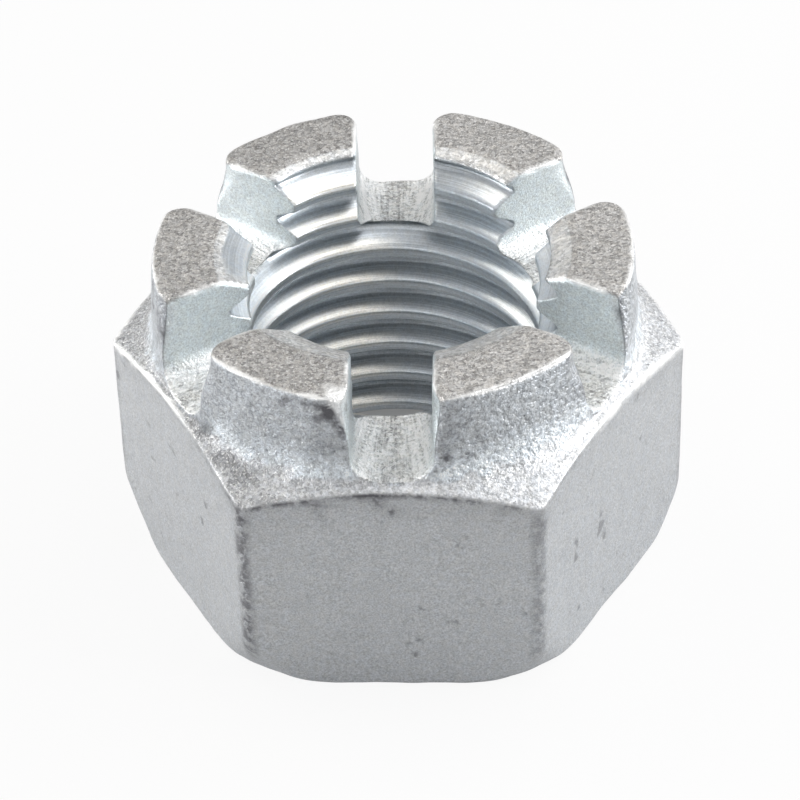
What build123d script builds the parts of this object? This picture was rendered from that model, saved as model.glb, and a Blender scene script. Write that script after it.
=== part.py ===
"""Castle nut M20 x 2.5: a hexagon with a crown of six prongs, slotted for a split pin.

One forged piece of steel, threaded right through. The origin is the centre of the bearing
face and +Z runs along the thread towards the crown. Two corners of the hexagon lie on the
X axis, so one slot opens towards -Y. All sizes are in millimetres and degrees.
"""

import os
from math import cos, hypot, radians, tan

from build123d import *

os.makedirs("parts", exist_ok=True)

# Thread: metric coarse, right-handed
thread_diameter = 20.0
thread_pitch = 2.5
thread_entry_height = -0.21  # where the middle of the groove crosses the +X side

# Hexagon, with a sloping shoulder above and a steep bevel on the corners below
across_flats = 30.0
flat_height = 15.3  # in the middle of a flat, where the shoulder is highest
shoulder_angle = 30.0
upright_edge_rounding = 0.85
bearing_overhang = 0.9  # how far the round bearing face would reach past the flats
corner_bevel_angle = 66.0
bearing_edge_rounding = 0.4

# Crown
crown_setback = 0.8  # from the flats to the crown at its top
crown_draft_angle = 4.0
crown_root_rounding = 1.7
crown_rim_rounding = 0.3

# Slots, each running right across through two gaps of the crown
gap_count = 6
slot_width = 4.7
slot_depth = 5.5
slot_floor_rise = 0.4  # from the top of the flats to the floor of the slots
slot_floor_rounding = 1.5
slot_edge_rounding = 0.35

# Countersinks, the same at both ends of the thread
countersink_diameter = 20.9
countersink_angle = 120.0

flat_distance = across_flats / 2
corner_distance = flat_distance / cos(radians(30))
bearing_radius = flat_distance + bearing_overhang
crown_radius = flat_distance - crown_setback
slot_floor_height = flat_height + slot_floor_rise
nut_height = slot_floor_height + slot_depth

# Metric thread form: 60 degrees between flanks, an eighth flat at the root, a quarter at the crest
thread_depth = 0.5413 * thread_pitch
root_flat = thread_pitch / 8
crest_flat = thread_pitch / 4
bore_radius = thread_diameter / 2 - thread_depth

countersink_radius = countersink_diameter / 2
countersink_cone = countersink_radius / tan(radians(countersink_angle / 2))  # depth to its point

shoulder_slope = tan(radians(shoulder_angle))
crown_slope = tan(radians(crown_draft_angle))


def shoulder_height(radius):
    """Height of the sloping shoulder at this distance from the axis."""
    return flat_height + (flat_distance - radius) * shoulder_slope


# The side of the crown widens downwards until it meets the slope of the shoulder
crown_foot_radius = (
    crown_radius + crown_slope * (nut_height - shoulder_height(0))
) / (1 - crown_slope * shoulder_slope)
corner_bevel_height = (corner_distance - bearing_radius) * tan(radians(corner_bevel_angle))


def is_outside(edge):
    """Whether both ends of an edge lie nearer to the crown's outside than to its bore."""
    middle = (countersink_radius + crown_radius) / 2
    return all(hypot(end.X, end.Y) > middle for end in edge.vertices())


# What the bore takes away: a core with one helical ridge, both longer than the nut
with BuildPart() as threaded_core:
    ridge_overrun = thread_pitch
    core_overrun = 2 * ridge_overrun
    with Locations((0, 0, -core_overrun)):
        Cylinder(
            bore_radius,
            nut_height + 2 * core_overrun,
            align=(Align.CENTER, Align.CENTER, Align.MIN),
        )
    with BuildLine() as ridge_path:
        Helix(
            pitch=thread_pitch,
            height=nut_height + 2 * ridge_overrun,
            radius=bore_radius,
            center=(0, 0, thread_entry_height - ridge_overrun),
        )
    with BuildSketch(Plane(ridge_path.line @ 0, x_dir=(1, 0, 0), z_dir=(0, -1, 0))):
        # The ridge is drawn from inside the core, where its flanks are carried on
        rooting = thread_depth / 4
        ridge_width = thread_pitch - crest_flat
        rooted_width = ridge_width + (ridge_width - root_flat) * rooting / thread_depth
        with BuildLine():
            Polyline(
                (-rooting, -rooted_width / 2),
                (thread_depth, -root_flat / 2),
                (thread_depth, root_flat / 2),
                (-rooting, rooted_width / 2),
                close=True,
            )
        make_face()
    sweep(path=ridge_path.line, is_frenet=True)

with BuildPart() as castle_nut:
    # Turned outline of the whole nut, with a conical countersink at each end
    with BuildSketch(Plane.XZ) as outline:
        crown_foot = (crown_foot_radius, shoulder_height(crown_foot_radius))
        crown_rim = (crown_radius, nut_height)
        bearing_edge = (bearing_radius, 0)
        with BuildLine():
            Polyline(
                (0, countersink_cone),
                (countersink_radius, 0),
                bearing_edge,
                (corner_distance, corner_bevel_height),
                (corner_distance, shoulder_height(corner_distance)),
                crown_foot,
                crown_rim,
                (countersink_radius, nut_height),
                (0, nut_height - countersink_cone),
                close=True,
            )
        make_face()
        for corner, rounding in (
            (crown_foot, crown_root_rounding),
            (crown_rim, crown_rim_rounding),
            (bearing_edge, bearing_edge_rounding),
        ):
            fillet(outline.vertices().sort_by_distance(corner)[0], radius=rounding)
    revolve(axis=Axis.Z)

    # Hexagon with rounded upright edges, kept where the turned outline fills it
    with BuildSketch() as hexagon:
        RegularPolygon(radius=flat_distance, side_count=6, major_radius=False)
        fillet(hexagon.vertices(), radius=upright_edge_rounding)
    extrude(amount=nut_height, mode=Mode.INTERSECT)

    # Slots with rounded floors, sunk from the top of the crown
    with BuildSketch(Plane.XZ) as slot:
        with Locations((0, slot_floor_height)):
            Rectangle(slot_width, nut_height, align=(Align.CENTER, Align.MIN))
        fillet(
            slot.vertices().group_by(Axis.Y)[0],
            radius=min(slot_floor_rounding, 0.45 * slot_width),
        )
    slot_tool = extrude(amount=corner_distance, both=True, mode=Mode.PRIVATE)
    with PolarLocations(0, gap_count // 2, angular_range=180):
        add(slot_tool, mode=Mode.SUBTRACT)
    slot_edges = [edge for edge in castle_nut.edges(Select.LAST) if is_outside(edge)]
    fillet(slot_edges, radius=slot_edge_rounding)

    # Threaded bore, right through
    add(threaded_core.part, mode=Mode.SUBTRACT)

castle_nut.part.label = "castle_nut"
export_step(castle_nut.part, "parts/castle_nut.step")
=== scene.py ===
"""Castle nut: the forged, zinc-plated steel nut as one surface, on a pale floor.

Shapes are worked out in millimetres and radians and put into the meshes in metres. The nut
stands on its bearing face with the thread along Z, as its solid does.
"""

import bpy
import numpy as np
from mathutils import Matrix, Vector


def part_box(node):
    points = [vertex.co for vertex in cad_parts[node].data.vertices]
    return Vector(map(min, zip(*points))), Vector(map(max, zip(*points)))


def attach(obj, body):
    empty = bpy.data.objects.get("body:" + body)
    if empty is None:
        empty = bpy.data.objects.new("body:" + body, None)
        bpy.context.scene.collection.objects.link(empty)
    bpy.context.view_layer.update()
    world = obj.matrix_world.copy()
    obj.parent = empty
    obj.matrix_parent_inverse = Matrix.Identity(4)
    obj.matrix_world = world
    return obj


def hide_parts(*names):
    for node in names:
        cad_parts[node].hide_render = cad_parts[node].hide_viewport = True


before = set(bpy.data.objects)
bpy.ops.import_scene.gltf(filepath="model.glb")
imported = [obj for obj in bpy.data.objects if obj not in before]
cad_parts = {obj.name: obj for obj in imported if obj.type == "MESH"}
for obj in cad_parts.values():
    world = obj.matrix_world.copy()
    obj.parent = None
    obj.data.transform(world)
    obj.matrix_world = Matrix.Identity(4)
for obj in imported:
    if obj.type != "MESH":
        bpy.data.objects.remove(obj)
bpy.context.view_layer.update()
NUT_BOX = np.array(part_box("castle_nut"), float)

bl_info = {
    "name": "Castle nut",
    "version": (1, 0, 0),
    "blender": (4, 5, 0),
    "location": "3D View > Sidebar > Castle nut",
    "description": "Makes a zinc-plated castle nut and its studio",
    "category": "Add Mesh",
}

MM = 0.001


def length_prop(name, default, description, least=0.05 * MM):
    """A length in metres."""
    return bpy.props.FloatProperty(
        name=name, default=default, description=description, min=least, unit="LENGTH", precision=5
    )


def angle_prop(name, default, description):
    """An acute angle in radians."""
    return bpy.props.FloatProperty(
        name=name, default=default, description=description, min=0, max=1.5, subtype="ANGLE"
    )


def colour_prop(name, default, description):
    """A linear colour."""
    return bpy.props.FloatVectorProperty(
        name=name, default=default, description=description, subtype="COLOR", min=0, max=1
    )


class NutSizes(bpy.types.PropertyGroup):
    """Sizes of the nut, from its wrench size down to its roundings and its thread"""

    across_flats: length_prop(
        "Across flats", float(np.ptp(NUT_BOX[:, 1])), "Wrench size, from flat to flat"
    )
    height: length_prop(
        "Height", float(np.ptp(NUT_BOX[:, 2])), "From the bearing face to the top of the prongs"
    )
    flat_height: length_prop(
        "Flat height", 15.3 * MM, "Height of a flat in its middle, up to the shoulder"
    )
    shoulder_angle: angle_prop("Shoulder angle", np.radians(30), "Slope from the flats to the crown")
    upright_rounding: length_prop(
        "Upright edges", 0.85 * MM, "Radius along the six upright edges of the hexagon"
    )
    bearing_radius: length_prop(
        "Bearing radius", 15.9 * MM, "Radius of the round bearing face, cut off by the flats"
    )
    bevel_angle: angle_prop("Corner bevel", np.radians(66), "Steepness of the bevel under the corners")
    crown_radius: length_prop("Crown radius", 14.2 * MM, "Outer radius of the crown at its top")
    crown_draft: angle_prop("Crown draft", np.radians(4), "Lean of the crown's side, outwards below")
    root_rounding: length_prop("Crown root", 1.7 * MM, "Radius between the shoulder and the crown's side")
    slot_width: length_prop("Slot width", 4.7 * MM, "Width of the slots for the split pin")
    slot_floor: length_prop("Slot floor", 15.7 * MM, "Height of the slots' floors over the bearing face")
    floor_rounding: length_prop("Slot corners", 1.5 * MM, "Radius between a slot's floor and its walls")
    slot_rounding: length_prop(
        "Slot edges", 1.6 * MM, "Radius along the slots' outer edges, at the tops of the prongs"
    )
    thread_diameter: length_prop("Thread diameter", 20.0 * MM, "Nominal diameter of the thread")
    thread_pitch: length_prop(
        "Thread pitch", 2.5 * MM, "Distance from one turn of the thread to the next"
    )
    thread_entry: length_prop(
        "Thread entry", -0.21 * MM,
        "Height at which the middle of the groove crosses the +X side", least=-10 * MM,
    )
    countersink_radius: length_prop(
        "Countersink", 10.45 * MM, "Outer radius of the countersink at both ends of the thread"
    )


class NutFinish(bpy.types.PropertyGroup):
    """Colours of the plated steel, of its painted highlights and shade, and of the floor"""

    plate: colour_prop(
        "Plate", (0.47, 0.485, 0.50), "Zinc plate on the flats, the bevel and the bearing face"
    )
    warm_plate: colour_prop(
        "Prong tops", (0.395, 0.385, 0.372), "Warmer and darker plate on the prongs' rough tops"
    )
    bright_plate: colour_prop("Shoulder", (0.625, 0.635, 0.65), "Bright grainy plate on the shoulder")
    floor_plate: colour_prop(
        "Slot floors", (0.96, 0.975, 0.97), "Bright plate on both sides of the slots' floors"
    )
    side_plate: colour_prop(
        "Crown side", (0.455, 0.478, 0.50), "Smooth bluish plate on the outside of the prongs"
    )
    root_plate: colour_prop(
        "Crown root", (0.76, 0.81, 0.85), "Brighter plate where the crown meets the shoulder"
    )
    cone_plate: colour_prop(
        "Countersink", (0.70, 0.70, 0.69), "Plate in the countersinks at both ends of the thread"
    )
    wall_plate: colour_prop("Slot walls", (0.68, 0.735, 0.75), "Smooth plate on the walls of the slots")
    thread_plate: colour_prop("Thread", (0.62, 0.66, 0.69), "Bright cut metal of the thread")
    # Painted warm highlight in streaks on the thread
    warm_highlight: colour_prop(
        "Thread, warm", (0.90, 0.875, 0.81), "Cream streaks on the thread, on its -X side"
    )
    # Painted highlights along the edges and painted glints in the grain, together with polished plate
    highlight_and_polish_plate: colour_prop(
        "Edges", (0.95, 0.95, 0.94), "Polished plate along the edges, and the sparkle of the grain"
    )
    # Dark colour of pits and of painted shade
    dirt_and_shade: colour_prop("Dirt", (0.10, 0.10, 0.11), "Dark pits, worn blotches and dirt along the edges")
    floor: colour_prop("Floor", (0.8, 0.8, 0.8), "Pale floor under the nut")


# How unevenly the real nut was forged: the hexagon sits a little turned and off the crown's
# centre, and the bevel runs deeper on the -X side than on the +X side
HEXAGON_TURN = np.radians(-1.06)
HEXAGON_SHIFT = 0.10
BEVEL_SHIFT = 0.25
# The shoulder and the slot's floor go down by the drop between these places along +Y
BACK_DROP = 0.3
SHOULDER_FALL = (9.0, 15.0)
FLOOR_FALL = (8.0, 13.5)
# Waves of the forged surface: height, wavelength and seed
FORGED_WAVES = ((0.035, 5.0, 3), (0.012, 1.6, 4))
RIM_WAVE = (0.08, 2.4, 5)

# Roundings of the edges that have no size of their own in the sidebar
FOOT_ROUNDING = 0.7  # round the bearing face and over the bevel
BROW_ROUNDING = 0.22  # between the flats and the shoulder
CRISP_ROUNDING = 0.3  # of a slot's edges beside its floor, and of the crown's root there
RIM_ROUNDING = 0.34  # round the prongs' tops
MOUTH_ROUNDING, MOUTH_TOP_ROUNDING = 0.12, 0.37  # round the bore, below and at the prongs' tops
CREST_ROUNDING, GROOVE_ROUNDING, CONE_ROUNDING = 0.22, 0.25, 0.08  # in the thread

# Metric thread form, as shares of the pitch, and the tangent of its flanks' 60 degrees, which
# the countersinks' cones have too
GROOVE_DEPTH, HALF_MOUTH = 0.5413, 0.375
FLANK_SLOPE = np.sqrt(3)

CORNER_COUNT = 6
SECTOR = 2 * np.pi / CORNER_COUNT
# Columns across half a sector: the slot's floor, its rounded corner, its wall and the prong
FLOOR_COLUMNS, TROUGH_COLUMNS, WALL_COLUMNS, PRONG_COLUMNS = 2, 7, 14, 13
HALF_COLUMNS = FLOOR_COLUMNS + TROUGH_COLUMNS + WALL_COLUMNS + PRONG_COLUMNS
# Angle from the slot's middle at which each of those stretches ends, on the hexagon and in
# the bore, in degrees
OUTER_ANGLES = (0, 3.6, 9.7, 21.5, 30)
INNER_ANGLES = (0, 5.2, 16.0, 24.0, 30)
# Depth in which a column leans over from its crossing to its angle on the hexagon
LEANING_DEPTH = 2.0
# The least height of the bevel, and between a row of the bore and either end of a column
LEAST_BEVEL, BORE_MARGIN = 0.6, 0.03
# Rows of each stretch of the section, from the bearing face round the outside to the top
BEARING_ROWS, BEVEL_ROWS, FLAT_ROWS, SIDE_ROWS, TOP_ROWS = 9, 7, 14, 26, 18
# Rows of the thread within one pitch, as shares of it from the middle of the groove
THREAD_ROWS = np.array(
    [0, 0.06, 0.14, 0.22, 0.30, 0.35, 0.39, 0.44, 0.5, 0.56, 0.61, 0.65, 0.70, 0.78, 0.86, 0.94]
)


def rounded_corner(a, b, radius, turn=np.pi / 2):
    """Distance to metal bounded by two faces, with the edge between them rounded.

    a and b are the distances to the faces, negative inside, and turn is the angle between
    their normals. With A = a + radius and B = b + radius, it is the larger of A and B, or
    sqrt(A^2 + B^2 - 2AB cos turn) / sin turn beside the edge, less the radius.
    """
    large, small = np.maximum(a, b) + radius, np.minimum(a, b) + radius
    cosine, sine = np.cos(turn), np.sin(turn)
    beside = np.sqrt(np.maximum(large**2 + small**2 - 2 * large * small * cosine, 0)) / sine
    return np.where(small > large * cosine, beside, large) - radius


def filled_corner(a, b, radius, turn=np.pi / 2):
    """The same for an inner corner: metal where either distance is negative."""
    return -rounded_corner(-a, -b, radius, turn)


def smooth_step(x, low, high):
    """0 at low and past it, 1 at high and past it, t^2 (3 - 2t) between them."""
    t = np.clip((x - low) / (high - low), 0, 1)
    return t * t * (3 - 2 * t)


def band(x, start, full, fade, end):
    """1 from full to fade, 0 before start and after end, a smooth step between them."""
    return smooth_step(x, start, full) * (1 - smooth_step(x, fade, end))


def hump(x, middle, width, power=2):
    """1 at the middle and 1/e one width from it: exp(-|(x - middle) / width|^power)."""
    return np.exp(-(np.abs((x - middle) / width) ** power))


def from_nearest(x, first, spacing):
    """Signed distance to the nearest of first, first + spacing and so on, both ways."""
    steps = (x - first) / spacing
    return (steps - np.round(steps)) * spacing


def ripples(p, wavelength, seed):
    """Smooth unevenness between about -1 and 1: ten sines along random directions, over 4."""
    rng = np.random.default_rng(seed)
    waves = rng.normal(size=(10, 3))
    waves *= 2 * np.pi / wavelength / np.linalg.norm(waves, axis=1, keepdims=True)
    waves *= rng.uniform(0.6, 1.5, size=(10, 1))
    return np.sin(p @ waves.T + rng.uniform(0, 2 * np.pi, 10)).sum(-1) / 4


class NutShape:
    """Distances to the nut's faces in millimetres, negative inside the metal."""

    def __init__(self, sizes):
        self.flat = sizes.across_flats / MM / 2
        self.top = sizes.height / MM
        self.flat_height = sizes.flat_height / MM
        self.shoulder_angle = sizes.shoulder_angle
        self.upright = sizes.upright_rounding / MM
        self.bearing = sizes.bearing_radius / MM
        self.bevel = sizes.bevel_angle
        self.crown = sizes.crown_radius / MM
        self.draft = sizes.crown_draft
        self.root = sizes.root_rounding / MM
        self.half_slot = sizes.slot_width / MM / 2
        self.slot_floor = sizes.slot_floor / MM
        self.trough = sizes.floor_rounding / MM
        self.slot_rounding = sizes.slot_rounding / MM
        self.pitch = sizes.thread_pitch / MM
        self.depth = GROOVE_DEPTH * self.pitch
        self.half_mouth = HALF_MOUTH * self.pitch
        self.bore = sizes.thread_diameter / MM / 2 - self.depth
        self.entry = sizes.thread_entry / MM
        self.countersink = sizes.countersink_radius / MM

    def shoulder_height(self, r):
        """Height of the shoulder: flat height + (flat distance - r) tan(shoulder angle)."""
        return self.flat_height + (self.flat - r) * np.tan(self.shoulder_angle)

    def crown_side(self, z):
        """Radius of the crown's side: crown radius + (height - z) tan(draft)."""
        return self.crown + (self.top - z) * np.tan(self.draft)

    def hexagon_radius(self, angle):
        """Distance from the axis to the flat met at this angle: flat distance / cos(offset)."""
        return self.flat / np.cos(from_nearest(angle, HEXAGON_TURN + SECTOR / 2, SECTOR))

    def lateral(self, angle, r):
        """Distance to the middle plane of the nearest slot: r |sin(angle from it)|."""
        return np.abs(np.sin(from_nearest(angle, SECTOR / 2, SECTOR))) * r

    def groove_offset(self, angle, z):
        """Height over the nearest turn of the groove, which climbs one pitch each turn."""
        return from_nearest(z, self.entry + self.pitch * angle / (2 * np.pi), self.pitch)

    def cone_radius(self, z):
        """Radius of the nearer countersink: outer radius - depth times the cone's slope."""
        return self.countersink - np.minimum(z, self.top - z) * FLANK_SLOPE

    def bore_radius(self, angle, z):
        """Radius of the threaded wall: metric flanks between crest and root, and two cones."""
        groove = (self.half_mouth - np.abs(self.groove_offset(angle, z))) * FLANK_SLOPE
        return np.maximum(self.bore + np.clip(groove, 0, self.depth), self.cone_radius(z))

    def slot_edge(self, z):
        """Rounding of a slot's outer edge: crisp beside the floor, wide at the top."""
        climb = smooth_step(z, self.slot_floor + 1.6, self.top - 0.5)
        return CRISP_ROUNDING + (self.slot_rounding - CRISP_ROUNDING) * climb

    def faces(self, p):
        """Every face's distance at the points p, an array of x, y and z."""
        x, y, z = p[..., 0], p[..., 1], p[..., 2]
        r, angle = np.hypot(x, y), np.arctan2(y, x)
        # Hexagon: the two largest of six distances, x cos a + y sin a - flat distance
        normals = HEXAGON_TURN + SECTOR * (np.arange(CORNER_COUNT) + 0.5)
        sides = (x - HEXAGON_SHIFT)[..., None] * np.cos(normals) + y[..., None] * np.sin(normals)
        sides = np.sort(sides - self.flat, axis=-1)
        hexagon = rounded_corner(sides[..., -1], sides[..., -2], self.upright, SECTOR)
        # Bearing face and bevel, the bevel a steep cone that widens upwards
        far = np.hypot(x - BEVEL_SHIFT, y) - self.bearing
        bevel = far * np.sin(self.bevel) - z * np.cos(self.bevel)
        foot = rounded_corner(bevel, -z, FOOT_ROUNDING, self.bevel)
        # Slots: the distance to the nearest one's rounded trough, negative inside the gap
        beside = self.lateral(angle, r) - self.half_slot
        floor = self.slot_floor - BACK_DROP * smooth_step(y, *FLOOR_FALL)
        gap = rounded_corner(beside, floor - z, self.trough)
        # Shoulder and crown side, with a hollow rounding between them at the prongs
        lowered = self.shoulder_height(r) - BACK_DROP * smooth_step(y, *SHOULDER_FALL)
        shoulder = (z - lowered) * np.cos(self.shoulder_angle)
        side = (r - self.crown_side(z)) * np.cos(self.draft)
        root = CRISP_ROUNDING + (self.root - CRISP_ROUNDING) * smooth_step(beside, -0.5, 0.7)
        crown = filled_corner(shoulder, side, root, np.pi / 2 - self.shoulder_angle - self.draft)
        top = z - self.top
        # Thread: crest, flanks and root, and the countersinks
        offset = np.abs(self.groove_offset(angle, z))
        crest = self.bore - r
        flank = (self.half_mouth - (r - self.bore) / FLANK_SLOPE - offset) * np.cos(np.pi / 6)
        groove = filled_corner(flank, self.bore + self.depth - r, GROOVE_ROUNDING, np.pi / 3)
        thread = rounded_corner(crest, groove, CREST_ROUNDING, np.pi / 3)
        cone = (self.cone_radius(z) - r) / 2
        return hexagon, foot, crown, top, gap, thread, cone

    def distance(self, p):
        """Distance to the faces joined by rounded edges, those outside with forged waves."""
        hexagon, foot, crown, top, gap, thread, cone = self.faces(p)
        z = p[..., 2]
        d = rounded_corner(hexagon, crown, BROW_ROUNDING, np.pi / 2 - self.shoulder_angle)
        d = rounded_corner(d, foot, FOOT_ROUNDING, np.pi / 3)
        d = rounded_corner(d, -gap, self.slot_edge(z))
        height, *wave = RIM_WAVE
        rim = RIM_ROUNDING + height * ripples(p, *wave)
        d = rounded_corner(d, top, rim, np.pi / 2 - self.draft)
        for height, *wave in FORGED_WAVES:
            d = d + height * ripples(p, *wave)
        bored = rounded_corner(thread, cone, CONE_ROUNDING, np.pi / 3)
        near_top = smooth_step(z, self.top - 1.6, self.top - 0.3)
        mouth = MOUTH_ROUNDING + (MOUTH_TOP_ROUNDING - MOUTH_ROUNDING) * near_top
        return rounded_corner(d, bored, mouth)

    def settle(self, p, steps=6):
        """Moves points on to the surface: p - d n / |n|^2, n the slope of the distance d.

        The slope is taken over h each way, and the step is held to the reach.
        """
        h, reach, least_square = 1e-4, 0.3, 0.25
        for _ in range(steps):
            d = self.distance(p)
            slope = np.stack(
                [self.distance(p + h * e) - self.distance(p - h * e) for e in np.eye(3)], -1
            ) / (2 * h)
            square = np.maximum((slope**2).sum(-1), least_square)
            p = p - (np.clip(d, -reach, reach) / square)[..., None] * slope
        return p


def graded(count, ends=1.0):
    """count + 1 numbers from 0 to 1, closer together near both ends: x - 0.8 ends
    sin(2 pi x) / (2 pi)."""
    x = np.linspace(0, 1, count + 1)
    return x - 0.8 * ends * np.sin(2 * np.pi * x) / (2 * np.pi)


class NutGrid:
    """The nut as one closed grid: columns round the axis, rows round the section.

    A column climbs the outside to its own height, its cap, crosses there and goes down the
    bore. Beside a slot the columns lean away from its wall, so that they leave the edge one
    by one.
    """

    def __init__(self, shape):
        self.shape = shape
        # Lateral place, cap, share of the prong and angles of each column of half a sector
        j = np.arange(HALF_COLUMNS + 1)
        ends = np.cumsum([0, FLOOR_COLUMNS, TROUGH_COLUMNS, WALL_COLUMNS, PRONG_COLUMNS])
        turn = np.clip((j - ends[1]) / TROUGH_COLUMNS, 0, 1) * np.pi / 2
        floor_half = shape.half_slot - shape.trough
        lateral = floor_half * np.clip(j / ends[1], 0, 1) + shape.trough * np.sin(turn)
        trough_top = shape.slot_floor + shape.trough
        climb = graded(WALL_COLUMNS, 0.5)[np.clip(j - ends[2], 0, WALL_COLUMNS)]
        cap = np.where(
            j < ends[2],
            trough_top - shape.trough * np.cos(turn),
            trough_top + (shape.top - trough_top) * climb,
        )
        prong = np.clip((j - ends[3]) / PRONG_COLUMNS, 0, 1)
        # On the hexagon the prong's columns crowd towards its corner, along a sine
        bow = 0.4 * np.pi
        crowded = (OUTER_ANGLES[4] - OUTER_ANGLES[3]) * np.sin(prong * bow) / np.sin(bow)
        outer = np.radians(np.interp(j, ends[:4], OUTER_ANGLES[:4]) + crowded)
        inner = np.radians(np.interp(j, ends, INNER_ANGLES))

        # All columns, from the middle of one prong round to it again
        i = np.arange(2 * HALF_COLUMNS * CORNER_COUNT + 1)
        step = i % (2 * HALF_COLUMNS) - HALF_COLUMNS
        self.sign, j = np.sign(step), np.abs(step)
        self.slot_angle = (i // (2 * HALF_COLUMNS)) * SECTOR + SECTOR / 2
        self.lateral, self.cap, self.share = lateral[j], cap[j], prong[j] ** 1.25
        self.outer, self.inner = outer[j], inner[j]

    def crossing_angle(self, r):
        """Angle from the slot's middle where a column crosses at radius r: asin(lateral
        place / r), and on a prong a share of the rest up to the prong's middle."""
        wall = np.arcsin(np.clip(self.lateral / r, 0, 1))
        return wall + (SECTOR / 2 - wall) * self.share

    def leaning(self, r, z, base):
        """Angle at height z: 1 - exp(-depth / leaning depth) of the way from the crossing to
        the base."""
        away = 1 - np.exp(-np.maximum(self.cap - z, 0) / LEANING_DEPTH)
        return (1 - away) * self.crossing_angle(r) + away * base

    def placed(self, angle, r, z, turn=0.0):
        """Grid points from an angle beside the slot's middle, a radius and a height."""
        a = self.slot_angle + self.sign * angle + turn
        return np.stack(np.broadcast_arrays(r * np.cos(a), r * np.sin(a), z), -1)

    def outside_rows(self):
        """Rows up the outside: straight lines from corner to corner of the section."""
        shape, outer = self.shape, self.outer
        hexagon_r = shape.hexagon_radius(self.slot_angle + self.sign * outer + HEXAGON_TURN)
        bevel_top = (hexagon_r - shape.bearing) * np.tan(shape.bevel)
        bevel_top = np.maximum(bevel_top, LEAST_BEVEL)
        edge_r = np.minimum(hexagon_r, shape.bearing)
        rows = []
        # Bearing face, from the countersink out to the edge
        for f in graded(BEARING_ROWS)[:-1]:
            r = shape.countersink + (edge_r - shape.countersink) * f
            angle = self.inner + (outer - self.inner) * f
            rows.append(self.placed(angle, r, 0.0, HEXAGON_TURN * f))
        # Bevel, from that edge up to the flat
        for f in graded(BEVEL_ROWS, 0.6)[:-1]:
            r = edge_r + (hexagon_r - edge_r) * f
            rows.append(self.placed(outer, r, bevel_top * f, HEXAGON_TURN))
        # Flat, up to the shoulder's edge
        brow = shape.shoulder_height(hexagon_r)
        for f in graded(FLAT_ROWS)[:-1]:
            z = bevel_top + (brow - bevel_top) * f
            rows.append(self.placed(outer, hexagon_r, z, HEXAGON_TURN))
        # Shoulder and crown side, up to the cap
        foot_r = shape.crown_side(shape.shoulder_height(shape.crown))
        foot_z = shape.shoulder_height(foot_r)
        slope_length = np.hypot(hexagon_r - foot_r, brow - foot_z)
        side_length = np.maximum(self.cap - foot_z, 0)
        for f in graded(SIDE_ROWS)[:-1]:
            s = f * (slope_length + side_length)
            on_slope = np.clip(s / slope_length, 0, 1)
            up_side = np.maximum(s - slope_length, 0)
            z = brow + (foot_z - brow) * on_slope + up_side
            slope_r = hexagon_r + (foot_r - hexagon_r) * on_slope
            r = np.where(up_side > 0, shape.crown_side(z), slope_r)
            angle = self.leaning(r, z, outer)
            rows.append(self.placed(angle, r, z, HEXAGON_TURN * (1 - on_slope)))
        return rows

    def crossing_rows(self):
        """Rows across the prong's top, the slot's wall or its floor, at each column's cap."""
        shape, cap = self.shape, self.cap
        outer_r = shape.crown_side(cap)
        inner_angle = self.slot_angle + self.sign * self.crossing_angle(shape.countersink)
        inner_r = shape.bore_radius(inner_angle, cap)
        radii = [outer_r + (inner_r - outer_r) * f for f in graded(TOP_ROWS)]
        return [self.placed(self.crossing_angle(r), r, cap) for r in radii]

    def bore_rows(self):
        """Rows down the bore that climb with the thread, and their heights before they are
        held between the bearing face and the cap."""
        shape = self.shape
        turns = np.arange(-2, int(shape.top / shape.pitch) + 2)
        stations = np.sort((turns[:, None] + THREAD_ROWS).ravel())[::-1]
        climb = shape.entry + shape.pitch * stations
        angle = self.slot_angle + self.sign * self.inner
        wanted = climb[:, None] + shape.pitch * angle / (2 * np.pi)
        rows, r = [], shape.countersink
        for start, z in zip(climb[1:], wanted[1:]):
            # The angle leans with the height, which depends on the angle: found in four rounds
            for _ in range(4):
                angle = self.slot_angle + self.sign * self.leaning(r, z, self.inner)
                z = start + shape.pitch * angle / (2 * np.pi)
                z = np.clip(z, BORE_MARGIN / 2, self.cap - BORE_MARGIN / 2)
                r = shape.bore_radius(angle, z)
            rows.append(self.placed(self.leaning(r, z, self.inner), r, z))
        return rows, wanted

    def surface(self):
        """Points on the nut's surface and the triangles between them, closed all round."""
        rows = self.outside_rows() + self.crossing_rows()
        first = len(rows) - 1
        bore, wanted = self.bore_rows()
        points = np.stack(rows + bore)
        # Each grid place's own point: a bore row past either end of a column shares that end's
        # point, and the last column is the first one, a turn of the thread further down
        count, width = points.shape[:2]
        row = np.repeat(np.arange(count)[:, None], width, 1)
        above = wanted >= self.cap - BORE_MARGIN
        below = wanted <= BORE_MARGIN
        row[first:] = np.where(above, first, np.where(below, 0, row[first:]))
        per_turn = len(THREAD_ROWS)
        row[first + per_turn :, -1] = row[first:-per_turn, 0]
        row[first : first + per_turn, -1] = first
        column = np.repeat(np.arange(width)[None], count, 0)
        column[:, -1] = 0
        place = row * width + column
        place = np.vstack([place, place[:1]])
        a, b, c, d = place[:-1, :-1], place[:-1, 1:], place[1:, 1:], place[1:, :-1]
        corners = np.stack([np.stack([a, b, c], -1), np.stack([a, c, d], -1)]).reshape(-1, 3)
        kept = (np.roll(corners, 1, 1) != corners).all(1)
        used, triangles = np.unique(corners[kept], return_inverse=True)
        return self.shape.settle(points.reshape(-1, 3)[used]), triangles.reshape(-1, 3)


# Painted light on the six prongs' tops, lighter on the +X side where the light falls, from the one at 0
# degrees on
PRONG_LIGHT = np.array([1.17, 1.14, 1.0, 1.06, 1.02, 1.19])
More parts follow.
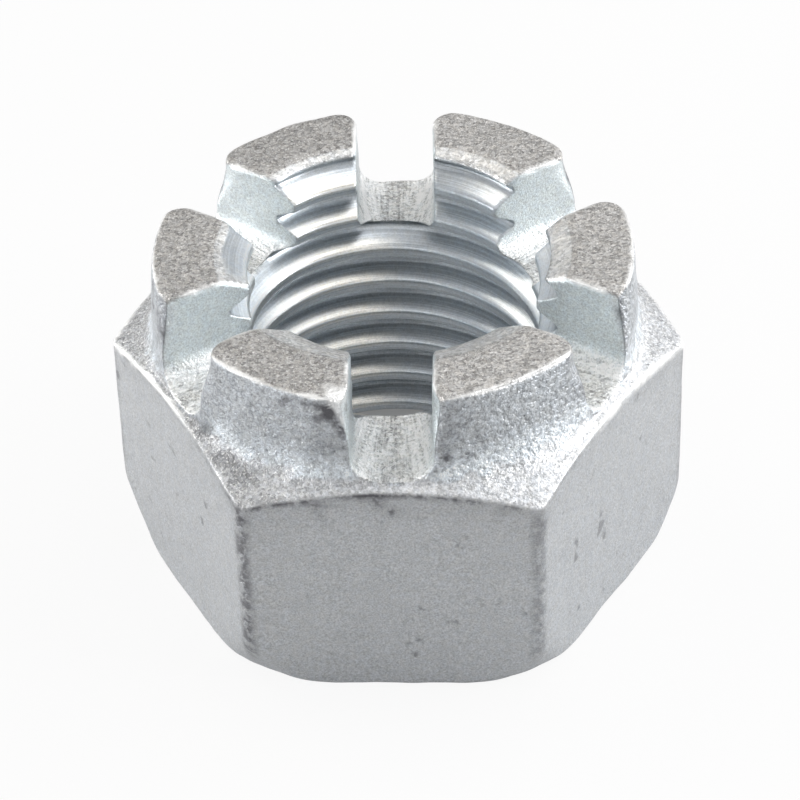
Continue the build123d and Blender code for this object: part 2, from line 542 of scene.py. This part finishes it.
# Directions of painted light and shade, and of darker places, in degrees from +X towards +Y
FRONT = 270
HIGHLIGHT_CORNER = 254  # of the crown beside the front slot: a painted highlight, with painted shade round it
DARK_CORNER = 243  # of the hexagon, the darkest of the six
SHADED_BROW = 265  # of the flats, the middle of the painted shade along their tops
DARKER_PATCH = 221  # of the shoulder, darker and rougher
LIT_SIDE = 288  # of the shoulder, where its painted light is brightest


class NutZones:
    """Shares of each finish, of polish and painted highlight, and of dirt and painted shade at points on
    the nut's surface.

    A zone is where its face's distance is the one that bounds the metal. Bands of polish,
    painted highlight, dirt and painted shade are smooth steps of the distances to the two
    faces beside an edge, times smooth steps of height and humps of direction.
    """

    def __init__(self, shape, p):
        self.shape, self.p = shape, p
        self.r, self.z = np.hypot(p[:, 0], p[:, 1]), p[:, 2]
        self.angle = np.arctan2(p[:, 1], p[:, 0])
        self.turn = np.degrees(self.angle) % 360
        self.over_floor = self.z - shape.slot_floor
        hexagon, foot, crown, top, gap, thread, cone = shape.faces(p)
        self.hexagon, self.crown, self.top, self.gap = hexagon, crown, top, gap
        self.uneven = 0.05 * ripples(p, 0.9, 8)
        # Zones, with a narrow change from each to the next
        outer = np.max([hexagon, foot, crown], axis=0)
        bored = np.maximum(thread, cone) - np.max([outer, top, -gap], axis=0)
        self.on_thread = smooth_step(bored, -0.06, 0.04)
        self.on_cone = self.on_thread * smooth_step(cone - thread, -0.02, 0.05)
        topmost = smooth_step(top - np.maximum(outer, -gap), -0.10, 0.04)
        self.on_top = topmost * (1 - self.on_thread)
        rest = (1 - self.on_thread) * (1 - self.on_top)
        self.on_gap = smooth_step(-gap - outer, -0.10, 0.10) * rest
        above_flats = smooth_step(crown - np.maximum(hexagon, foot), -0.08, 0.02)
        self.on_crown = above_flats * (rest - self.on_gap)
        self.on_floor = self.on_gap * (1 - smooth_step(self.over_floor, 0.3, 1.3))
        root = shape.shoulder_height(shape.crown_side(shape.slot_floor))
        root = root + 0.25 * ripples(p, 1.3, 6)
        self.on_side = self.on_crown * smooth_step(self.z, root, root + 0.35)
        # Painted highlight on the rounded corner beside the front slot, as a bright slanted facet
        self.at_corner = hump(self.turn, HIGHLIGHT_CORNER, 9, 4)
        facet_highlight = np.minimum(-gap, crown) + self.uneven + 0.5 * top
        self.facet_highlight = self.at_corner * smooth_step(facet_highlight, -1.5, -1.1)

    def polish_and_highlight(self):
        """Painted highlights and polish along the edges, where two faces' distances are both near 0:
        round the prongs' tops, up the slots' walls and along the tops of the flats, there mostly beside
        the front; and the facet's painted highlight."""
        tops = np.minimum(self.top, np.maximum(self.crown, -self.gap)) + self.uneven
        walls = np.minimum(self.crown, -self.gap) + self.uneven
        brows = np.minimum(self.hexagon, self.crown) + self.uneven
        away = np.abs(self.turn - FRONT)
        aside = 0.12 + 0.88 * smooth_step(away, 46, 60) - 0.45 * smooth_step(away, 92, 110)
        edges = [
            smooth_step(tops, -0.24, -0.12),
            smooth_step(walls, -0.16, -0.08) * smooth_step(self.over_floor, 1.7, 2.9) * 0.6,
            smooth_step(brows, -0.27, -0.15) * aside,
            self.facet_highlight,
        ]
        return np.max(edges, axis=0) * (1 - self.on_thread)

    def shade(self):
        """Painted shade: on the crown beside each slot, in the slots' rounded corners, and
        below the tops of the flats."""
        gap, on_crown = self.gap, self.on_crown
        rounding = self.shape.slot_edge(self.z)
        start, end = 0.3 * rounding, 0.9 * rounding
        narrow = band(gap, start, start + 0.15, end, end + 0.7)
        narrow *= smooth_step(self.over_floor, -0.5, 0.3)
        wide = (1 - smooth_step(gap, 0.5, 4.0)) * self.on_side
        # On the rounded corner itself the distances to the crown and the slot are alike
        arc = smooth_step(1 - np.abs(gap + self.crown) / (0.8 * rounding), 0.0, 0.5)
        depth = np.minimum(-gap, self.crown)
        arc *= smooth_step(depth, -0.6 * rounding, -0.35 * rounding) * (1 - self.facet_highlight)
        arc *= smooth_step(self.over_floor, 0.7, 1.7) * (1 - smooth_step(self.top, -0.8, -0.2))
        under_brow = band(self.below_brow(), 0.05, 0.15, 0.5, 3.0) * self.in_front()
        places = [0.7 * narrow * on_crown, 0.5 * wide * on_crown, 0.8 * arc, 0.5 * under_brow]
        return np.max(places, axis=0)

    def below_brow(self):
        """Depth below the shoulder's slope, on the flats only."""
        on_flats = smooth_step(self.r - self.shape.flat, -0.4, -0.1)
        return (self.shape.shoulder_height(self.r) - self.z) * on_flats

    def in_front(self):
        """Share of the painted shade along the tops of the flats: 1 in front and 0.4 behind."""
        return (0.4 + 0.6 * hump(self.turn, SHADED_BROW, 36, 4)) * (1 - self.on_crown)

    def dirt_and_shade(self):
        """Strong darkening: on the hexagon's corners, painted shade in a line under its top edges
        and round the facet's painted highlight."""
        corner = np.abs(from_nearest(self.angle, HEXAGON_TURN, SECTOR)) * self.r
        corners = (1 - smooth_step(corner, 0.15, 0.75)) * (self.r > self.shape.crown)
        corners *= 1 - smooth_step(self.z - self.shape.flat_height, -1.7, -0.7)
        corners *= smooth_step(self.z, 0.2, 3.0) * (0.5 + 0.5 * hump(self.turn, DARK_CORNER, 20))
        # A thin line of painted shade just under the tops of the flats
        line = band(self.below_brow(), 0.04, 0.12, 0.22, 0.5) * self.in_front()
        # Painted shade round the facet's painted highlight
        slant = band(self.gap - 0.5 * self.top, 1.2, 1.4, 1.6, 2.0)
        slant *= 1 - smooth_step(self.top, -0.5, -0.35)
        slant *= smooth_step(self.over_floor, 2.1, 3.3)
        strip = band(self.top, -0.95, -0.7, -0.5, -0.35) * band(self.gap, 1.2, 1.6, 2.2, 4.2)
        shade_round_facet = self.at_corner * np.maximum(slant, strip) * self.on_crown
        return np.max([corners, line, shade_round_facet], axis=0)

    def rough_middle(self):
        """Share of the slots' floors that is rough along their middle, as the tops are."""
        lateral = self.shape.lateral(self.angle, self.r) + 0.25 * ripples(self.p, 1.3, 9)
        return hump(lateral, 0, 1.0) * self.on_floor

    def prong_light(self):
        """Painted light on each prong's top, 0.5 where it is plain."""
        nearest = np.round(self.angle / SECTOR).astype(int) % CORNER_COUNT
        return 0.5 + (PRONG_LIGHT[nearest] - 1) * self.on_top

    def painted_light(self):
        """Painted light on the shoulder: how much brighter its colour is, or darker below 0: a
        cosine round the nut that peaks towards the lit side, less a darker patch of uneven depth."""
        around = 0.26 * np.cos(self.angle - np.radians(LIT_SIDE)) - 0.17
        patch = 0.44 * hump(self.turn, DARKER_PATCH, 27) * (1 + 0.45 * ripples(self.p, 1.5, 7))
        return around - patch

    def layers(self):
        """The shares by name, in layers of four."""
        rough = self.on_top + 0.6 * self.rough_middle()
        shoulder = self.on_crown * (1 - self.on_side)
        return {
            "zones": (rough, shoulder, self.on_gap, self.on_thread),
            "marks": (self.polish_and_highlight(), self.on_floor, self.on_side, self.on_cone),
            "painted_light_and_dirt": (self.shade(), self.dirt_and_shade(), self.prong_light(), self.painted_light()),
        }


class Maths:
    """A shader value that adds its Math nodes when used in an expression."""

    def __init__(self, tree, socket):
        self.tree, self.socket = tree, socket

    def _join(self, operation, *values, clamp=False):
        node = self.tree.nodes.new("ShaderNodeMath")
        node.operation, node.use_clamp = operation, clamp
        for slot, value in zip(node.inputs, values):
            if isinstance(value, Maths):
                self.tree.links.new(value.socket, slot)
            else:
                slot.default_value = value
        return Maths(self.tree, node.outputs[0])

    def __add__(self, other):
        return self._join("ADD", self, other)

    __radd__ = __add__

    def __sub__(self, other):
        return self._join("SUBTRACT", self, other)

    def __rsub__(self, other):
        return self._join("SUBTRACT", other, self)

    def __mul__(self, other):
        return self._join("MULTIPLY", self, other)

    __rmul__ = __mul__

    def __truediv__(self, other):
        return self._join("DIVIDE", self, other)

    def __abs__(self):
        return self._join("ABSOLUTE", self)

    def smaller(self, other):
        """The smaller of this value and the other."""
        return self._join("MINIMUM", self, other)

    def turn_from(self, other):
        """Angle whose tangent is this value over the other."""
        return self._join("ARCTAN2", self, other)

    def sine(self):
        return self._join("SINE", self)

    def cosine(self):
        return self._join("COSINE", self)

    def held(self):
        """The value held between 0 and 1."""
        return self._join("ADD", self, 0.0, clamp=True)

    def above(self, low, high):
        """Share that rises from 0 at low to 1 at high."""
        return ((self - low) / (high - low)).held()


class Shader:
    """The node tree of a material or a world, with one method that adds a node."""

    def __init__(self, owner):
        self.owner = owner
        owner.use_nodes = True
        self.tree = owner.node_tree
        self.tree.nodes.clear()

    def node(self, kind, settings=None, out=0, **inputs):
        """Adds a node with its settings first, then the values or links of its sockets.

        A socket goes by its name with _ for a space, or by _ and its number. out is the name
        or number of the output that is given back, or a tuple of them.
        """
        node = self.tree.nodes.new(kind)
        for name, value in (settings or {}).items():
            setattr(node, name, value)
        enabled = [slot for slot in reversed(node.inputs) if slot.enabled]
        named = {slot.name.replace(" ", "_"): slot for slot in enabled}
        for name, value in inputs.items():
            slot = node.inputs[int(name[1:])] if name[1:].isdigit() else named[name]
            if isinstance(value, Maths):
                self.tree.links.new(value.socket, slot)
            else:
                slot.default_value = value
        if not node.outputs:
            return None
        if isinstance(out, tuple):
            return [Maths(self.tree, node.outputs[each]) for each in out]
        return Maths(self.tree, node.outputs[out])

    def mix(self, share, low, high):
        """One colour changed to another by a share."""
        low, high = (c if isinstance(c, Maths) else (*c, 1.0) for c in (low, high))
        return self.node("ShaderNodeMix", {"data_type": "RGBA"}, 2, _0=share, _6=low, _7=high)

    def shaded(self, colour, factor):
        """A colour made lighter or darker by a factor, and held under full white."""
        settings = {"data_type": "RGBA", "blend_type": "MULTIPLY", "clamp_result": True}
        return self.node("ShaderNodeMix", settings, 2, _0=1.0, _6=colour, _7=factor)


# Noises of the plate: grains per metre, detail, roughness, and the two values between which
# a share rises from 0 to 1
GRAINS = {
    "fine": (9000, 2, 0.7, 0.3, 0.7),
    "sparkle": (7600, 1, 0.5, 0.58, 0.68),
    "grit": (5200, 2, 0.6),
    "brushed": (3600, 3, 0.6, 0.32, 0.68),
    "peel": (3300, 2, 0.5),
    "tint": (2400, 2, 0.5, 0.35, 0.65),
    "specks": (1500, 3, 0.6, 0.42, 0.56),
    "haze": (900, 4, 0.6),
    "pits": (620, 3, 0.5),
    "rubbed_and_highlight": (420, 2, 0.5, 0.38, 0.55),
    "lines": (7, 3, 0.7, 0.3, 0.7),
}
CRYSTALS = 5400.0
WARM_TINT, COOL_TINT = (1.012, 1.0, 0.985), (0.99, 1.0, 1.02)
# Radius in millimetres at which the brushed lines are as wide as their noise
BRUSHED_RADIUS = 14.0
# Change of the brushed lines outwards, and of the thread's lines along X, per metre
BRUSHED_CHANGE, LINES_CHANGE = 0.15, 12.0
BUMP_DISTANCE = 0.14


class PlatedSteel(Shader):
    """Zinc-plated forged steel: finely speckled flats, sparkling grain with painted glints on tops and
    shoulder, brushed slot floors, and tool lines along the thread, whose crests are painted lightest and
    grooves darker."""

    def __init__(self, finish, shape):
        super().__init__(bpy.data.materials.new("zinc_plate"))
        self.finish = finish
        self.top, self.shoulder, self.wall, self.thread = self.layer("zones")
        self.edge, self.floor, self.side, self.cone = self.layer("marks")
        # Painted shade, dirt with painted shade, and painted light on the prongs' tops and the shoulder
        self.shade, self.grime, self.prong_light, self.painted_light = self.layer("painted_light_and_dirt")
        self.cut = self.thread * (1 - self.cone)
        self.place = place = self.node("ShaderNodeTexCoord", out="Object")
        xyz = self.node("ShaderNodeSeparateXYZ", out=(0, 1, 2), Vector=place)
        self.across, along, self.up = xyz
        self.fine, self.peel = self.grain("fine"), self.grain("peel")
        self.haze, self.pits = self.grain("haze"), self.grain("pits")
        self.mottle = self.haze.above(0.3, 0.7)
        # Tool lines along the thread: noise on a circle that goes round once a pitch
        angle = along.turn_from(self.across)
        self.phase = (self.up - shape.entry * MM) * (2 * np.pi / (shape.pitch * MM)) - angle
        cosine, sine, aside = self.phase.cosine(), self.phase.sine(), self.across * LINES_CHANGE
        circle = self.node("ShaderNodeCombineXYZ", X=cosine, Y=sine, Z=aside)
        self.lines = self.grain("lines", circle)
        # Brushed lines of the slots' floors, which run outwards: noise along the angle
        radius = self.node("ShaderNodeVectorMath", {"operation": "LENGTH"}, 1, _0=place)
        round_axis, outward = angle * (BRUSHED_RADIUS * MM), radius * BRUSHED_CHANGE
        fan = self.node("ShaderNodeCombineXYZ", X=round_axis, Y=outward)
        self.brushed = self.grain("brushed", fan)
        # The outside of the prongs is rougher towards +X, and another tone at their root
        self.rougher = self.across.above(-3 * MM, 4 * MM)
        self.root = 1 - self.up.above(15.9 * MM, 17.8 * MM)

    def layer(self, name):
        """The four values of a colour attribute of the mesh."""
        named = {"attribute_name": name}
        colour, alpha = self.node("ShaderNodeAttribute", named, ("Color", "Alpha"))
        return *self.node("ShaderNodeSeparateColor", out=(0, 1, 2), Color=colour), alpha

    def grain(self, name, place=None):
        """A noise of the plate by its name, as a share where the table has its two ends."""
        scale, detail, rough, *ends = GRAINS[name]
        place = place or self.place
        noise = self.node(
            "ShaderNodeTexNoise", Vector=place, Scale=scale, Detail=detail, Roughness=rough
        )
        return noise.above(*ends) if ends else noise

    def by_zone(self, plain, **more):
        """A number for the flats, and what each zone adds to it: plain + sum of share * more."""
        return sum((getattr(self, zone) * value for zone, value in more.items()), plain)

    def plates(self):
        """The plain colour of each zone, one over the other."""
        finish = self.finish
        # Painted warm highlights run as streaks along the middle of the thread's left half
        middle = self.across.above(-9 * MM, -5 * MM) * (1 - self.across.above(-2 * MM, 0.5 * MM))
        highlight_streak = (self.phase + 2.2).cosine().above(0.6, 0.95)
        thread_and_highlight = self.mix(middle * highlight_streak, finish.thread_plate, finish.warm_highlight)
        prong = self.mix(self.root, finish.side_plate, finish.root_plate)
        colour = self.mix(self.wall, finish.plate, finish.wall_plate)
        for share, plate in (
            (self.thread, thread_and_highlight),
            (self.side, prong),
            (self.shoulder, finish.bright_plate),
            (self.cone, finish.cone_plate),
            (self.floor, finish.floor_plate),
            (self.top, finish.warm_plate),
        ):
            colour = self.mix(share, colour, plate)
        return colour

    def speckle(self):
        """The factor around 1 by which each grain lightens or darkens the colour."""
        cells = self.node("ShaderNodeTexVoronoi", out="Color", Vector=self.place, Scale=CRYSTALS)
        crystal = self.node("ShaderNodeSeparateColor", Color=cells)
        strong = self.by_zone(0.10, side=0.30, top=0.66, shoulder=0.50, floor=0.28, cone=0.45)
        grains = (
            1.0
            + (self.fine - 0.5) * self.by_zone(0.55, thread=-0.35)
            + (crystal - 0.5) * strong
            + (self.brushed - 0.5) * 0.62 * self.floor
            + (self.mottle - 0.5) * self.by_zone(0.08, side=0.10) * (1 - self.thread)
            + (self.peel - 0.5) * (0.5 + 0.8 * self.rougher) * self.side
            # Painted shade in the thread's grooves and painted light on its crests, by the phase
            + ((self.lines - 0.5) * 0.5 - self.phase.cosine() * 0.19) * self.cut
        )
        # Painted light on the thread towards -X and +X, and painted shade in its lowest turns
        grains = grains + (abs(self.across).above(2 * MM, 8 * MM) * 0.34 - 0.10) * self.cut
        grains = grains - (1 - self.up.above(4 * MM, 9 * MM)) * 0.11 * self.thread
        # Painted light on the shoulder and the crown's side, most at its root, and on the prongs' tops
        shine = self.painted_light * (self.shoulder + self.side * (0.3 + 0.7 * self.root))
        return grains * (1 + (self.prong_light - 0.5) * self.top + shine)

    def dirt_and_shade(self):
        """Share of dirt and painted shade: dark pits, painted shade beside a step, and speckled patches
        of the darker places.
        """
        pitted = (self.pits + 0.02 * self.side).above(0.66, 0.74) * (1 - self.thread)
        pitted = pitted * (1 - self.shoulder * 0.6) * (1 - self.top * 0.6) * 0.55
        blotched_shade = self.shade * (0.25 + 0.5 * self.pits.above(0.50, 0.64))
        specked = self.grime * (0.22 + 0.62 * self.grain("specks"))
        return ((pitted + blotched_shade + specked) * (1 - self.edge)).held()

    def colour(self, dirt_and_shade):
        """The colour of the zones, tinted, speckled, with painted glints, painted highlights and rubbed
        plate on the edges, and dirt and painted shade.
        """
        highlight_and_polish_plate = self.finish.highlight_and_polish_plate
        tint = self.mix(self.grain("tint"), WARM_TINT, COOL_TINT)
        colour = self.shaded(self.shaded(self.plates(), tint), self.speckle())
        # Painted glints on the tops, the shoulder and the slot floors
        glint = self.grain("sparkle") * self.by_zone(0.0, top=0.5, shoulder=0.6, floor=0.5)
        colour = self.mix(glint, colour, highlight_and_polish_plate)
        # Painted highlights and rubbed plate along the edges
        rubbed_and_highlight = self.edge * (0.35 + 0.65 * self.grain("rubbed_and_highlight"))
        colour = self.mix(rubbed_and_highlight, colour, highlight_and_polish_plate)
        return self.mix(dirt_and_shade, colour, self.finish.dirt_and_shade)

    def rough(self):
        """Roughness, over 0.3, because a glossier grain leaves dark dots in the render."""
        rough = self.by_zone(0.35, wall=-0.03, thread=-0.035, floor=0.03)
        rough = rough + 0.08 * self.haze * (1 - self.thread)
        return rough - (self.painted_light * 0.4 * (self.shoulder + self.side)).smaller(0.0)

    def height(self, dirt_and_shade):
        """Height of the grains, lower where dirt and painted shade lie, and nearly none on the thread."""
        coarse = self.by_zone(0.09, side=0.15, shoulder=0.40, top=0.55, floor=0.75, cone=0.35)
        height = self.fine * self.by_zone(0.10, side=0.05) + self.grain("grit") * coarse
        height = (height + self.mottle * 0.12 - dirt_and_shade * 0.4) * (1 - 0.9 * self.cut)
        height = height + self.lines * 0.025 * self.cut + self.brushed * self.floor * 0.5
        return height + self.peel * self.side * (0.6 + 0.7 * self.rougher)

    def material(self):
        """The material with its nodes joined."""
        dirt_and_shade = self.dirt_and_shade()
        metal = self.by_zone(0.5, wall=0.1) + 0.47 * self.thread * (1 - 0.6 * self.cone)
        bump = self.node(
            "ShaderNodeBump", Strength=1.0, Distance=BUMP_DISTANCE * MM, Height=self.height(dirt_and_shade)
        )
        surface = self.node(
            "ShaderNodeBsdfPrincipled",
            Base_Color=self.colour(dirt_and_shade),
            Metallic=metal,
            Roughness=self.rough(),
            Normal=bump,
        )
        self.node("ShaderNodeOutputMaterial", Surface=surface)
        return self.owner


def pale_floor(finish):
    """Matt floor, white where the camera sees it beside the nut, but not in its bore."""
    m = Shader(bpy.data.materials.new("studio_floor"))
    matt = m.node("ShaderNodeBsdfDiffuse", Color=(*finish.floor, 1.0))
    white = m.node("ShaderNodeEmission", Color=(1, 1, 1, 1), Strength=1.0)
    seen, mirrored = m.node("ShaderNodeLightPath", out=("Is Camera Ray", "Is Glossy Ray"))
    place = m.node("ShaderNodeTexCoord", out="Object")
    across = m.node("ShaderNodeVectorMath", {"operation": "LENGTH"}, 1, _0=place)
    share = seen * (0.15 + 0.75 * across.above(11 * MM, 13 * MM)) + mirrored * 0.12
    mixed = m.node("ShaderNodeMixShader", _0=share, _1=matt, _2=white)
    m.node("ShaderNodeOutputMaterial", Surface=mixed)
    return m.owner


def pale_sky():
    """Soft light all round, white to the camera and about half so in the metal."""
    m = Shader(bpy.data.worlds.new("studio"))
    seen, mirrored, through = m.node(
        "ShaderNodeLightPath", out=("Is Camera Ray", "Is Glossy Ray", "Is Transmission Ray")
    )
    light = 0.28 + 0.72 * (seen + through).held() + 0.22 * mirrored
    sky = m.node("ShaderNodeBackground", Color=(0.97, 0.98, 1.0, 1.0), Strength=light)
    m.node("ShaderNodeOutputWorld", Surface=sky)
    return m.owner


def add_object(scene, name, data):
    """A new object of the scene with its data."""
    thing = bpy.data.objects.new(name, data)
    scene.collection.objects.link(thing)
    return thing


class OBJECT_OT_make_nut(bpy.types.Operator):
    """Makes the castle nut as one closed surface in the place of the plain solid"""

    bl_idname = "castle_nut.make_nut"
    bl_label = "Make nut"

    def execute(self, context):
        shape = NutShape(context.scene.nut_sizes)
        points, triangles = NutGrid(shape).surface()
        mesh = bpy.data.meshes.new("castle_nut_forged")
        mesh.from_pydata(points * MM, [], triangles)
        mesh.update()
        mesh.shade_smooth()
        for name, shares in NutZones(shape, points).layers().items():
            layer = mesh.color_attributes.new(name, "FLOAT_COLOR", "POINT")
            values = np.stack(shares, -1).astype(np.float32)
            layer.data.foreach_set("color", values.ravel())
        mesh.materials.append(PlatedSteel(context.scene.nut_finish, shape).material())
        nut = add_object(context.scene, "castle_nut_forged", mesh)
        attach(nut, "root")
        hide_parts("castle_nut")
        return {"FINISHED"}


# Camera, as the photograph was taken: angles in degrees, distances in millimetres
CAMERA_AZIMUTH, CAMERA_ELEVATION, CAMERA_ROLL = 1.641, 40.242, -1.783
CAMERA_DISTANCE, TARGET_ASIDE, TARGET_HEIGHT = 204.8, 0.1425, 9.457
CAMERA_LENS, SENSOR_WIDTH = 150.95, 36.0
CAMERA_NEAREST = 10.0

# Lamps, all aimed at one place: name, place and size in millimetres, power in watts, colour
LAMP_AIM = (0, 0, 10)
LAMPS = (
    ("overhead_lamp", (150, 110, 360), (360, 340), 0.66),
    ("left_lamp", (-300, -20, 34), (300, 60), 0.86),
    ("right_lamp", (300, 10, 80), (240, 150), 0.88),
    ("fill_lamp", (-190, 130, 330), (160, 160), 0.27, (1, 0.94, 0.85)),
    ("front_lamp", (10, -250, 300), (420, 60), 0.12),
)
# Floor: a round sheet, its radius in metres and the number of its corners
FLOOR_RADIUS, FLOOR_CORNERS = 3.0, 96


def make_floor(scene):
    """The floor as one round face: radius (cos u, sin u) at each corner."""
    u = np.linspace(0, 2 * np.pi, FLOOR_CORNERS, endpoint=False)
    rim = np.stack([np.cos(u), np.sin(u), 0 * u], -1) * FLOOR_RADIUS
    mesh = bpy.data.meshes.new("studio_floor")
    mesh.from_pydata(rim, [], [list(range(FLOOR_CORNERS))])
    mesh.materials.append(pale_floor(scene.nut_finish))
    add_object(scene, "studio_floor", mesh)


def make_lamp(scene, name, place, size, power, colour=(1, 1, 1)):
    """A rectangular area lamp at its place, turned to the lamps' aim."""
    lamp = bpy.data.lights.new(name, "AREA")
    lamp.shape, lamp.size, lamp.size_y = "RECTANGLE", size[0] * MM, size[1] * MM
    lamp.energy, lamp.color = power, colour
    holder = add_object(scene, name, lamp)
    holder.location = Vector(place) * MM
    toward = Vector(LAMP_AIM) - Vector(place)
    holder.rotation_euler = toward.to_track_quat("-Z", "Y").to_euler()


def make_camera(scene):
    """The camera, back from its target along azimuth and elevation, rolled round its axis."""
    a, e, roll = np.radians([CAMERA_AZIMUTH, CAMERA_ELEVATION, CAMERA_ROLL])
    back = np.array([np.sin(a) * np.cos(e), -np.cos(a) * np.cos(e), np.sin(e)])
    level = np.array([np.cos(a), np.sin(a), 0.0])
    upright = np.cross(back, level)
    right = np.cos(roll) * level + np.sin(roll) * upright
    up = -np.sin(roll) * level + np.cos(roll) * upright
    target = right * TARGET_ASIDE + np.array([0, 0, TARGET_HEIGHT])
    place = (target + back * CAMERA_DISTANCE) * MM
    turn = Matrix(np.column_stack([right, up, back]).tolist()).to_4x4()
    lens = bpy.data.cameras.new("camera")
    lens.lens, lens.sensor_width = CAMERA_LENS, SENSOR_WIDTH
    lens.clip_start = CAMERA_NEAREST * MM
    scene.camera = add_object(scene, "camera", lens)
    scene.camera.matrix_world = Matrix.Translation(place) @ turn


class OBJECT_OT_make_nut_stage(bpy.types.Operator):
    """Makes the floor, the lamps, the sky and the camera"""

    bl_idname = "castle_nut.make_stage"
    bl_label = "Make stage"

    def execute(self, context):
        scene = context.scene
        make_floor(scene)
        for lamp in LAMPS:
            make_lamp(scene, *lamp)
        scene.world = pale_sky()
        make_camera(scene)
        scene.view_settings.view_transform = "Standard"
        return {"FINISHED"}


class VIEW3D_PT_castle_nut(bpy.types.Panel):
    """Lists the nut's sizes, its colours and its two steps"""

    bl_label = "Castle nut"
    bl_space_type = "VIEW_3D"
    bl_region_type = "UI"
    bl_category = "Castle nut"

    def draw(self, context):
        for group in (context.scene.nut_sizes, context.scene.nut_finish):
            for name in group.__annotations__:
                self.layout.prop(group, name)
        for step in STEPS:
            self.layout.operator(step.bl_idname)


STEPS = (OBJECT_OT_make_nut, OBJECT_OT_make_nut_stage)
CLASSES = (NutSizes, NutFinish, *STEPS, VIEW3D_PT_castle_nut)


def register():
    for cls in CLASSES:
        bpy.utils.register_class(cls)
    bpy.types.Scene.nut_sizes = bpy.props.PointerProperty(type=NutSizes)
    bpy.types.Scene.nut_finish = bpy.props.PointerProperty(type=NutFinish)


def unregister():
    del bpy.types.Scene.nut_finish
    del bpy.types.Scene.nut_sizes
    for cls in reversed(CLASSES):
        bpy.utils.unregister_class(cls)


def main():
    register()
    bpy.ops.castle_nut.make_nut()
    bpy.ops.castle_nut.make_stage()


if __name__ == "__main__":
    main()
